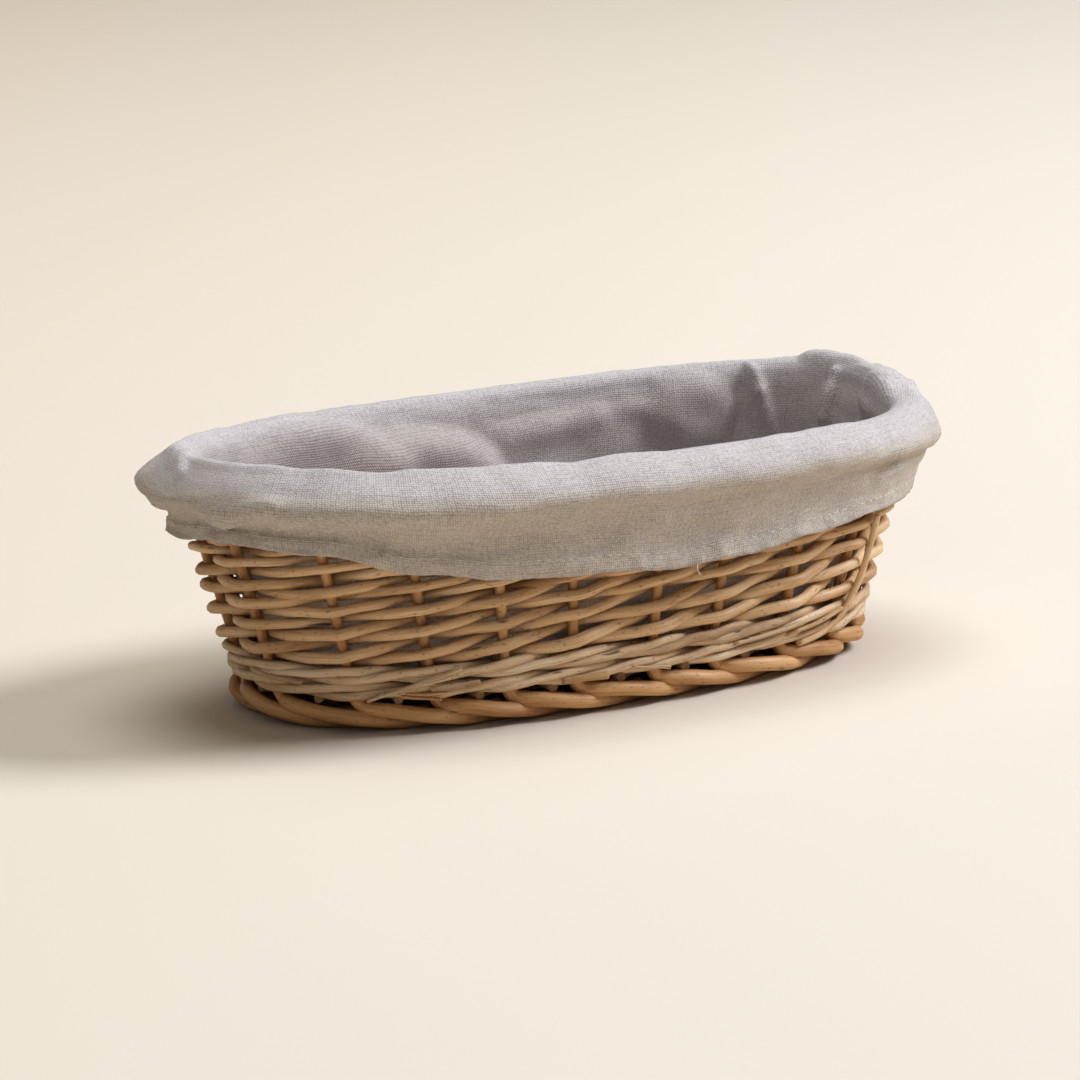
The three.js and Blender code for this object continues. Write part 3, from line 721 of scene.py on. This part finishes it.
def linen(name, inside, rim, skirt):
    shader = Shader(name)
    flat = shader.add("ShaderNodeUVMap", {"uv_map": "flat"}, {})
    inputs = {"Vector": flat, "Scale": WAVER_RATE, "Detail": 1}
    waver = shader.add("ShaderNodeTexNoise", {}, inputs, "Color")
    waver = shader.stretched(waver, (WAVER, WAVER, WAVER))
    cloth = shader.add("ShaderNodeVectorMath", {"operation": "ADD"}, {0: flat, 1: waver})
    threads = shader.stretched(cloth, (THREADS * math.pi, THREADS * math.pi, 1))
    parts = [shader.add("ShaderNodeSeparateXYZ", {}, {0: threads}, side) for side in (0, 1)]
    warp, weft = (part.math("COSINE", part) for part in parts)
    chequer = warp * weft
    covered = chequer.math("ABSOLUTE", chequer)
    slubs = shader.noise(cloth, (SLUB_RATE, THREADS, 1), 1) + shader.noise(cloth, (THREADS, SLUB_RATE, 1), 1)
    speckle = shader.noise(flat, (SPECKLE_RATE, SPECKLE_RATE, 1), 2)
    cloud = shader.noise(flat, (CLOUD_RATE, CLOUD_RATE, 1), 3)
    tone = covered * 0.5 + chequer * 0.1 + (slubs - 1) * 0.42
    tone = tone + (speckle - 0.5) * 1.1 + (cloud - 0.5) * 0.3
    # Painted light and shade: the inside colour is darker, the rim colour paler and cooler, and the skirt
    # colour warmer, as if lit from the paper.
    colour = shader.mixed(shader.attribute("skirt_painted_bounce"), inside, skirt)
    colour = shader.mixed(shader.attribute("rim_painted_light"), colour, rim)
    # Painted shade in the holes of the weave where it is drawn open.
    gaps = shader.attribute("opened") * (1 - covered)
    colour = shader.mixed(gaps * OPEN_SHADE_SHARE, colour, OPEN_PAINTED_SHADE)
    shade = shader.mixed(1, colour, SHADE, "MULTIPLY")
    colour = shader.mixed(shader.between(tone, DARKEST, PALEST), shade, colour)
    shader.feed(shader.surface, LINEN_SURFACE)
    height = chequer * 0.2 + covered * 0.5 + slubs * 0.3
    return shader.finish(colour, LINEN_ROUGHNESS, height, LINEN_RELIEF, LINEN_BUMP)


# Inside, rim and skirt colours: painted shade, painted light, and painted light thrown up from the paper.
FINISHES["linen"] = linen("linen", (0.53, 0.485, 0.495), (0.69, 0.665, 0.71), (0.65, 0.605, 0.57))
REVERSE = (0.86, 0.77, 0.73)
FINISHES["linen_reverse"] = linen("linen_reverse", REVERSE, REVERSE, REVERSE)
print("linen threads per cm:", round(THREADS / 100, 1))

# %% [markdown]
# ## The side band of the liner
# The band is cut flat and sewn into a ring. It lies loosely on the inside of the wall, goes over the rim in
# a soft roll, and hangs outside as a skirt with a hem. Its profile is a smooth line through a few points,
# and three tables give the heights of its crest, its shoulder and its hem at each stake, because the cloth
# stands up at the left end and its hem is crooked. The skirt slants in towards the hem at the right end and
# left of the middle of the front, and hangs out a little right of the middle.

# %% Side band profile
BAND_LENGTH, BAND_DEPTH, BAND_START = 0.70, 0.118, 1.1
INNER_ROWS, OUTER_ROWS, CURVE_STEPS = 58, 32, 8
CREST_HEIGHTS = [
    0.0822, 0.0819, 0.0814, 0.0814, 0.0814, 0.0814, 0.0814, 0.0819, 0.0829, 0.0844, 0.0852,
    0.0860, 0.0862, 0.0844, 0.0838, 0.0826, 0.0818, 0.0814, 0.0814, 0.0814, 0.0814, 0.0817,
]
SHOULDER_HEIGHTS = [
    0.0715, 0.0715, 0.0715, 0.0720, 0.0720, 0.0720, 0.0720, 0.0720, 0.0730, 0.0740, 0.0750,
    0.0750, 0.0745, 0.0740, 0.0735, 0.0730, 0.0730, 0.0730, 0.0730, 0.0728, 0.0722, 0.0715,
]
HEM_HEIGHTS = [
    0.0505, 0.0510, 0.0515, 0.0520, 0.0515, 0.0510, 0.0522, 0.0536, 0.0560, 0.0550, 0.0590,
    0.0620, 0.0599, 0.0528, 0.0486, 0.0474, 0.0455, 0.0466, 0.0497, 0.0519, 0.0520, 0.0508,
]
LINER_BOTTOM = 0.0156
INSIDE_LINE = [(-0.0076, LINER_BOTTOM), (-0.0076, 0.0245), (-0.0067, 0.05), (-0.0065, 0.069)]
# The roll over the rim, as shares of its way out and down, and how far the left end straightens it.
ROLL, LEFT_STRAIGHT = [(0.3, 0.09), (0.62, 0.36), (0.88, 0.73), (1, 1)], 0.7
# The middles of the slack part and of the tucked part of the skirt, and their half width, in stakes.
SLACK_MIDDLE, TUCKED_MIDDLE, PART_HALF = 18.2, 13.6, 1.7


def band_profile(stakes):
    """The cloth's way up the inside and its way down the outside, as (distance outwards, height)."""
    rim = wall(stakes, 0, RIM_HEIGHT, lean=False)
    end = (rim.x / (RIM_LENGTH / 2)) ** 2
    left, right = (end, 0) if rim.x < 0 else (0, end)
    middles = (SLACK_MIDDLE, TUCKED_MIDDLE)
    slack, tucked = (math.exp(-(((stakes - middle) / PART_HALF) ** 2)) for middle in middles)
    over = 0.0114 + 0.0014 * end + 0.0008 * left + 0.001 * tucked
    tables = (CREST_HEIGHTS, SHOULDER_HEIGHTS, HEM_HEIGHTS)
    crest, shoulder, hem = (from_table(table, stakes, ease=True) for table in tables)
    drop = shoulder - hem
    outside = [(0.0004, crest)]
    for share, fall in ROLL:
        fall += (share - fall) * LEFT_STRAIGHT * left
        outside.append((over * share, crest - (crest - shoulder) * fall))
    outside += [
        (over - 0.0002, shoulder - 0.0024 - 0.001 * right),
        (over - 0.0022 - 0.0008 * end, shoulder - 0.0052 + 0.0014 * right),
        (0.0077 + 0.0024 * right, shoulder - 0.4 * drop),
        (0.0065 + 0.0026 * right, shoulder - 0.6 * drop),
        (0.0075 + 0.0004 * right, shoulder - 0.82 * drop),
        (0.0094 - 0.0024 * right + 0.0014 * slack - 0.0024 * tucked, hem),
    ]
    return INSIDE_LINE + [(-0.0047, crest - 0.0036)], outside


def evenly(line, count):
    """Points at even steps along a line."""
    lengths = [0]
    for before, after in zip(line, line[1:]):
        lengths.append(lengths[-1] + (after - before).length)
    points = []
    for order in range(count + 1):
        wanted = lengths[-1] * order / count
        index = min(bisect_left(lengths, wanted, 1), len(lengths) - 1) - 1
        share = (wanted - lengths[index]) / (lengths[index + 1] - lengths[index])
        points.append(line[index].lerp(line[index + 1], share))
    return points


def cloth_rows(stakes):
    """The profile at one place in even steps, with the same row on top of the rim everywhere."""
    inside, outside = band_profile(stakes)
    stations = [(Vector((*place, 0)), 0) for place in inside + outside]
    line = [point for point, _ in smoothed(stations, CURVE_STEPS)]
    top = len(inside) * CURVE_STEPS
    return evenly(line[: top + 1], INNER_ROWS)[:-1] + evenly(line[top:], OUTER_ROWS)


for where, stakes in (("side", 5), ("end", 10.5)):
    rows = cloth_rows(stakes)
    depth = sum((after - before).length for before, after in zip(rows, rows[1:]))
    print("depth of the band at a", where, round(depth * 1000), "mm")

# %% [markdown]
# ## Folds
# A simulation would settle the folds by itself, but not where the real ones are, so the folds are drawn.
# Each is a line on the cloth, in stakes round the basket and shares of the cloth's depth, with a height and
# a width. A pad is a patch of slack cloth that stands off the wall.

# %% Folds
# Each fold: from stakes and depth, to stakes and depth, height and half width in millimetres.
FOLDS = [
    # long shallow folds along the back
    (4.4, 0.545, 2.5, 0.565, -2.2, 4),
    (4.3, 0.47, 3.1, 0.50, 2.2, 6),
    (2.5, 0.47, 2.0, 0.38, -0.6, 4),
    (2.6, 0.52, 1.8, 0.42, 0.9, 6),
    # the seam at the back and the crease beside it
    (1.23, 0.64, 0.96, 0.53, 1.6, 1.8),
    (0.96, 0.53, 0.62, 0.38, 2.6, 1.8),
    (1.25, 0.53, 0.85, 0.38, -2, 3),
    # tucks at the far right corner
    (0.62, 0.645, 21.99, 0.57, -2, 3),
    (21.93, 0.58, 21.84, 0.46, 5, 2.6),
    (21.6, 0.57, 21.45, 0.46, -3, 4),
    (21.6, 0.625, 20.9, 0.645, 1.3, 2),
    (20.9, 0.645, 20.2, 0.69, 1.3, 2),
    (21.5, 0.67, 20.9, 0.69, 1.2, 2),
    (20.9, 0.69, 20.2, 0.73, 1.2, 2),
    # the pleat on top of the left end
    (10.45, 0.72, 10.05, 0.62, 1.8, 2.3),
    (10.2, 0.70, 9.75, 0.61, 1.8, 2.3),
    # the skirt
    (11.1, 0.86, 11.7, 0.80, 1.6, 3),
    (11.2, 0.92, 12.6, 0.90, -1.6, 3.5),
    (10.7, 0.82, 10.9, 0.95, -1.5, 2),
    (12.6, 0.96, 13.4, 0.84, 1.2, 4),
    (13.5, 0.90, 15.2, 0.89, -1, 5),
    (15.0, 0.97, 15.8, 0.86, 0.9, 4),
    (16.6, 0.96, 17.2, 0.85, 1, 4),
    (17.0, 0.88, 19.2, 0.85, -1.2, 4),
    (19.0, 0.89, 19.3, 0.87, 1.6, 2.5),
    (18.6, 0.96, 19.2, 0.93, 1.2, 3),
    # gathers under the left end
    (10.7, 0.95, 10.78, 0.86, 1.3, 1.5),
    (11.0, 0.91, 11.35, 0.85, 1.2, 1.5),
    (11.5, 0.98, 11.7, 0.87, 1.3, 1.6),
    (12.05, 0.98, 12.15, 0.88, 1, 1.6),
    (12.55, 0.98, 12.75, 0.9, 0.9, 1.8),
    (9.9, 0.96, 10.0, 0.86, 1.2, 1.8),
]
# Each pad of slack cloth: stakes and depth of its middle, half sizes in both, height in millimetres, and how
# sharply it ends. The weave of the first two is drawn open, and painted shade darkens its holes.
Pad = namedtuple("Pad", "stakes depth half half_depth height sharpness")
PADS = [
    Pad(7.1, 0.44, 1.15, 0.15, 7, 4),
    Pad(5.75, 0.36, 1.25, 0.165, 9, 4),
    Pad(20.85, 0.575, 0.5, 0.06, 7, 2),
    Pad(0.15, 0.655, 0.45, 0.045, 2.2, 2),
    Pad(1.8, 0.46, 0.5, 0.12, 3.2, 3),
]
OPEN_PADS, OPEN_SPREAD, PAD_SLANT = PADS[:2], 1.3, 0.1
# The first two are in millimetres too, and a fold ends at so many times its half width.
STAKE_GAP, DEEPEST_FOLD, FOLD_END = 30.5, -0.9, 3


def near_place(stakes, middle):
    """The same place, counted in stakes that are at most half a turn from a middle."""
    return stakes + STAKES * round((middle - stakes) / STAKES)


def pad_place(stakes, depth, pad):
    """How far up a pad a place lies, and the square of how far it is from the middle, 1 being the edge."""
    up = (depth - pad.depth) / pad.half_depth
    return up, ((near_place(stakes, pad.stakes) - pad.stakes) / pad.half) ** 2 + up**2


def openness(stakes, depth):
    """How far the weave is drawn open, where the cloth is stretched over a pad."""
    offs = [OPEN_SPREAD * pad_place(stakes, depth, pad)[1] for pad in OPEN_PADS]
    return max(math.exp(-(off**pad.sharpness)) for off, pad in zip(offs, OPEN_PADS))


def flat_place(stakes, depth):
    return Vector((stakes * STAKE_GAP, depth * BAND_DEPTH * 1000))


def fold_height(stakes, depth):
    total = 0
    for stakes_a, depth_a, stakes_b, depth_b, height, width in FOLDS:
        place = flat_place(near_place(stakes, (stakes_a + stakes_b) / 2), depth)
        start = flat_place(stakes_a, depth_a)
        run = flat_place(stakes_b, depth_b) - start
        share = min(max((place - start).dot(run) / run.length_squared, 0), 1)
        distance = (place - start - run * share).length
        if distance < FOLD_END * width:
            total += height * math.exp(-((distance / width) ** 2))
    for pad in PADS:
        up, off = pad_place(stakes, depth, pad)
        total += pad.height * (1 + PAD_SLANT * pad.sharpness * up) * math.exp(-(off**pad.sharpness))
    return max(total, DEEPEST_FOLD) / 1000


print("folds:", len(FOLDS), "pads:", len(PADS))

# %% [markdown]
# ## A point of the cloth
# Each point of the profile is pushed off by its fold and by a little noise, for soft waves, wrinkles on the
# skirt and an uneven hem, and is then moved off any rod that it would cut into.

# %% Cloth points
# Half the thickness of the wall and of the rim border, and the height where the border begins.
WILLOW_HALF, RIM_HALF, RIM_BOTTOM = 0.0062, 0.0044, 0.07
# Repeats per metre and height of each noise.
SOFT_WAVES = [(45, 0.0012), (110, 0.0005)]
WRINKLE_RATES, WRINKLE_HEIGHT = Vector((50, 50, 290)), 0.0009
HEM_RATE, HEM_BUMPS, HEM_THICKNESS = 260, 0.0008, 0.0005
# Shares of the depth between which the bottom edge ends, and the skirt and the hem begin.
EDGE_END, SKIRT_TOP, HEM_TOP = (0, 0.05), (0.72, 0.8), (0.945, 0.96)


def clear_of_willow(place):
    out, height, _ = place
    if height < RIM_HEIGHT:
        half = WILLOW_HALF + (RIM_HALF - WILLOW_HALF) * eased(height, RIM_BOTTOM, RIM_HEIGHT)
        return Vector((math.copysign(max(abs(out), half), out), height, 0))
    rim = Vector((0, RIM_HEIGHT, 0))
    return rim + (place - rim) * max(1, RIM_HALF / (place - rim).length)


def cloth_point(stakes, row, rows, lift=0):
    ahead = (rows[min(row + 1, len(rows) - 1)] - rows[max(row - 1, 0)]).normalized()
    away = Vector((-ahead.y, ahead.x, 0))
    depth = row / (len(rows) - 1)
    key = wall(stakes, rows[row].x, rows[row].y, lean=False)
    soft = sum(noise.noise(key * rate) * height for rate, height in SOFT_WAVES)
    wrinkles = noise.noise(key * WRINKLE_RATES) * WRINKLE_HEIGHT
    uneven = soft * eased(depth, *EDGE_END) + wrinkles * eased(depth, *SKIRT_TOP)
    hem = eased(depth, *HEM_TOP) * (HEM_THICKNESS + HEM_BUMPS * noise.noise(key * HEM_RATE))
    height = fold_height(stakes, depth) + uneven + hem + lift
    place = clear_of_willow(rows[row] + away * height)
    return wall(stakes, place.x, place.y, lean=False)


top = cloth_point(0, INNER_ROWS, cloth_rows(0))
print("top of the cloth at the first stake:", round(top.z * 1000, 1), "mm")

# %% [markdown]
# ## The cloth of the side band
# `create_grid` makes the flat cloth with its UV map, and each corner of the grid is then carried to its
# place on the wall. The two short edges meet and are merged, and Solidify gives the cloth its thickness,
# with a second, paler material on the side that lies against the willow.

# %% Side band cloth
CLOTH_THICKNESS, MERGE_DISTANCE = 0.0009, 1e-5
BAND_COLUMNS, BAND_ROWS = 480, INNER_ROWS + OUTER_ROWS
# Shares of the depth between which the painted light on top of the rim begins and ends, and the skirt's
# painted light begins.
RIM_LIGHT_START, RIM_LIGHT_END, SKIRT_LIGHT_START = (0.53, 0.62), (0.73, 0.79), (0.7, 0.78)
ATTRIBUTES = ("rim_painted_light", "skirt_painted_bounce", "opened")


def thicken(cloth, offset):
    solid = cloth.modifiers.new("cloth", "SOLIDIFY")
    solid.thickness = CLOTH_THICKNESS
    solid.offset = offset
    return solid


bm = bmesh.new()
flat_map = bm.loops.layers.uv.new("flat")
for name in ATTRIBUTES:
    bm.verts.layers.float.new(name)
rim_painted_light, skirt_painted_bounce, opened = (bm.verts.layers.float[name] for name in ATTRIBUTES)
bmesh.ops.create_grid(bm, x_segments=BAND_COLUMNS, y_segments=BAND_ROWS, size=0.5)
places = {vert: (vert.co.x + 0.5, vert.co.y + 0.5) for vert in bm.verts}
for face in bm.faces:
    face.smooth = True
    for loop in face.loops:
        around, depth = places[loop.vert]
        loop[flat_map].uv = (around * BAND_LENGTH, depth * BAND_DEPTH)
columns = [cloth_rows(BAND_START + STAKES * column / BAND_COLUMNS) for column in range(BAND_COLUMNS)]
for vert, (around, depth) in places.items():
    # Painted light on top of the rim and on the skirt, and the pads whose open weave takes painted shade.
    vert[rim_painted_light] = eased(depth, *RIM_LIGHT_START) * (1 - eased(depth, *RIM_LIGHT_END))
    vert[skirt_painted_bounce] = eased(depth, *SKIRT_LIGHT_START)
    vert[opened] = openness(BAND_START + STAKES * around, depth)
    column = round(around * BAND_COLUMNS) % BAND_COLUMNS
    stakes = BAND_START + STAKES * column / BAND_COLUMNS
    vert.co = cloth_point(stakes, round(depth * BAND_ROWS), columns[column])
bmesh.ops.reverse_faces(bm, faces=bm.faces)
bmesh.ops.remove_doubles(bm, verts=bm.verts, dist=MERGE_DISTANCE)
band = piece("linen_side_band", bm, "linen", "liner", ["liner_side_band"])
band.data.materials.append(FINISHES["linen_reverse"])
thicken(band, 0).material_offset = 1
print("side band:", len(band.data.polygons), "faces")

# %% [markdown]
# ## Stitches
# The hem is sewn with a pale thread about five millimetres above the edge, and a loose end hangs from it.
# Each stitch is a very short rod laid on the cloth with the same function that placed the cloth itself.

# %% Stitches
STITCH_ROW, STITCHES, STITCH_LIFT = BAND_ROWS - 4, 178, 0.0005
# A stitch in shares of the way to the next one, and its thread.
STITCH, THREAD, THREAD_LOOKS = (0, 0.35, 0.7), 0.00012, {"sides": 5, "wobble": 0, "wander": 0}
# The loose end: its place in stakes, its start off the cloth, and its points and radii in millimetres.
LOOSE_PLACE, LOOSE_LIFT = 16.28, 0.0007
LOOSE_END = [((0, 0, 0), 0.2), ((-0.6, -0.6, -1.6), 0.2), ((0.4, -0.9, -3.4), 0.14)]

thread = Shader("white_thread")
thread.feed(thread.surface, {"Base Color": (0.78, 0.74, 0.68), "Roughness": 0.8})
FINISHES["linen_thread"] = thread.material
bm = new_rods()
for stitch in range(STITCHES):
    stations = []
    for share in STITCH:
        stakes = STAKES * (stitch + share) / STITCHES
        stations.append((cloth_point(stakes, STITCH_ROW, cloth_rows(stakes), STITCH_LIFT), THREAD))
    add_rod(bm, stations, seed=200, **THREAD_LOOKS)
start = cloth_point(LOOSE_PLACE, BAND_ROWS, cloth_rows(LOOSE_PLACE), LOOSE_LIFT)
stations = [(start + Vector(step) / 1000, radius / 1000) for step, radius in LOOSE_END]
add_rod(bm, smoothed(stations, steps=4), seed=201, **THREAD_LOOKS)
stitches = piece("linen_stitches", bm, "linen_thread", "liner")
print_made(f"pieces for {STITCHES} stitches", [stitches])

# %% [markdown]
# ## The floor panel of the liner
# An oval of the same cloth lies on the base and is sewn to the band. A filled circle has no inner corners
# to bend, so the panel is a grid too: each corner of a square grid is moved to the oval, and a little noise
# keeps it from lying dead flat.

# %% Floor panel
PANEL_INSET, PANEL_CELLS = 0.0074, 48
PANEL_WAVES, PANEL_WAVE_HEIGHT = 60, 0.0006
half_length, half_width = (half - PANEL_INSET for half in half_sizes(LINER_BOTTOM))
bm = bmesh.new()
flat_map = bm.loops.layers.uv.new("flat")
bmesh.ops.create_grid(bm, x_segments=PANEL_CELLS, y_segments=PANEL_CELLS, size=1)
for vert in bm.verts:
    x, y, _ = vert.co
    size, angle = max(abs(x), abs(y)), math.atan2(y, x)
    radius = oval_radius(angle, half_length, half_width) * size
    place = Vector((radius * math.cos(angle), radius * math.sin(angle), LINER_BOTTOM))
    place.z += PANEL_WAVE_HEIGHT * noise.noise(place * PANEL_WAVES) * (1 - size)
    vert.co = place
for face in bm.faces:
    face.smooth = True
    for loop in face.loops:
        loop[flat_map].uv = (loop.vert.co.x, loop.vert.co.y)
panel = piece("linen_floor_panel", bm, "linen", "liner", ["liner_floor_panel"])
thicken(panel, 1)
print("floor panel:", round(half_length * 2000), "by", round(half_width * 2000), "mm")

# %% [markdown]
# ## The paper
# The basket stands on a wide cream sheet that fills the picture. It is a touch paler at the near right, which
# is painted light falling off towards the far left. Light Path lets the camera see it paler than the basket
# does, so that a pale paper doesn't throw too much light back up into the skirt.

# %% Paper
PAPER_HALF = 8
NEAR_RIGHT_CREAM, FAR_LEFT_CREAM = (0.815, 0.775, 0.72), (0.79, 0.675, 0.54)
UNSEEN_CREAM = (0.72, 0.62, 0.5)
FAR_LEFT, CREAM_CHANGE = (-0.4, 0.35, 0), (-0.3, 0.9)

table = Shader("cream_paper")
seen = table.add("ShaderNodeLightPath", {}, {}, "Is Camera Ray")
place = table.add("ShaderNodeTexCoord", {}, {}, "Object")
towards = {0: place, 1: FAR_LEFT}
far_left = table.add("ShaderNodeVectorMath", {"operation": "DOT_PRODUCT"}, towards, "Value")
# Painted light: paler at the near right, darker and yellower at the far left.
cream = table.mixed(table.between(far_left, *CREAM_CHANGE), NEAR_RIGHT_CREAM, FAR_LEFT_CREAM)
cream = table.mixed(seen, UNSEEN_CREAM, cream)
table.feed(table.surface, {"Base Color": cream, "Roughness": 0.9, "Specular IOR Level": 0.1})
bm = bmesh.new()
bmesh.ops.create_grid(bm, x_segments=1, y_segments=1, size=PAPER_HALF)
mesh_object("paper", bm, table.material)
print("paper:", PAPER_HALF * 2, "m wide")

# %% [markdown]
# ## The light
# A broad soft light stands off the right end, so the shadow falls to the left, a second one hangs overhead,
# and two weak ones behind and at the left keep the shadows open. The world adds a little warm light from all
# round.

# %% Light
# Each light: name, place, diameter, power in watts and colour.
LIGHTS = [
    ("window", (3.0, -1.25, 2.85), 1.9, 164, (0.985, 0.985, 1)),
    ("ceiling", (0.2, 0.2, 4.4), 3, 84, (1, 0.965, 0.9)),
    ("back", (1.1, 1.7, 3.4), 2.4, 12, (1, 0.98, 0.95)),
    ("fill", (-2.2, -2.2, 1.6), 2, 6, (0.88, 0.94, 1)),
]
ROOM_COLOUR, ROOM_STRENGTH = (1, 0.88, 0.7, 1), 0.125

for name, place, diameter, power, colour in LIGHTS:
    light = bpy.data.lights.new(name, "AREA")
    light.shape = "DISK"
    light.size = diameter
    light.energy = power
    light.color = colour
    box = bpy.data.objects.new(name, light)
    turn = Vector(place).to_track_quat("Z", "Y")
    box.matrix_world = Matrix.Translation(place) @ turn.to_matrix().to_4x4()
    scene.collection.objects.link(box)
world = bpy.data.worlds.new("room")
world.use_nodes = True
background = world.node_tree.nodes["Background"]
background.inputs["Color"].default_value = ROOM_COLOUR
background.inputs["Strength"].default_value = ROOM_STRENGTH
scene.world = world
print("lights:", [name for name, *_ in LIGHTS])
